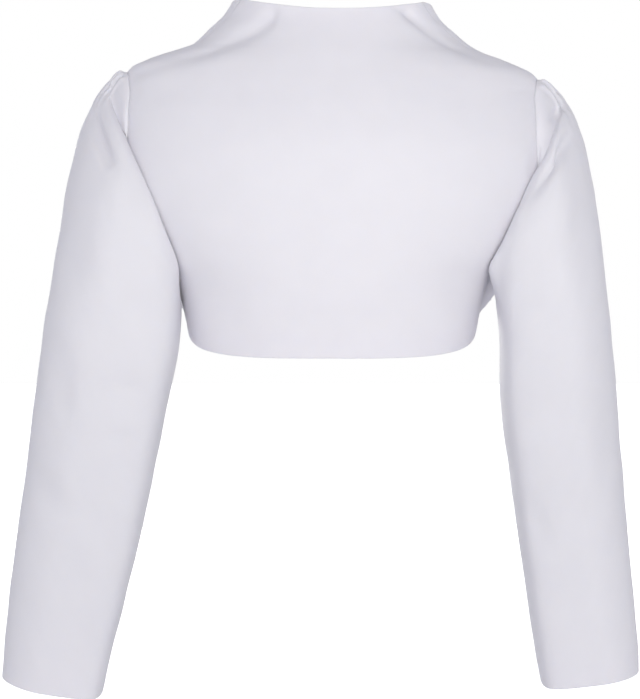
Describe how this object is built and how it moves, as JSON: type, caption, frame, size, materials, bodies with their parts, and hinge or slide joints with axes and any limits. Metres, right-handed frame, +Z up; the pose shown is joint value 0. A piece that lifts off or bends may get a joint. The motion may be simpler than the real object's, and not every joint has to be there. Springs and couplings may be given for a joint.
{
  "type": "bolero jacket",
  "caption": "Cropped long-sleeved bolero jacket in plain white satin with a wide stand-up neckline, cutaway open fronts and lightly gathered sleeve heads, in worn shape.",
  "frame": {"origin": "midway between the tops of the two sleeve heads, where the wearer's shoulders hold the jacket", "axes": "+Z up, from the hem to the neck; -Y is the wearer's front and +Y the back; +X is the wearer's left"},
  "size_m": [0.6019, 0.2114, 0.6562],
  "materials": {
    "white_satin": "smooth, softly shining satin weave"
  },
  "bodies": {
    "root": {"back": "white_satin", "front_left": "white_satin", "front_right": "white_satin", "sleeve_left": "white_satin", "sleeve_right": "white_satin"}
  },
  "joints": []
}
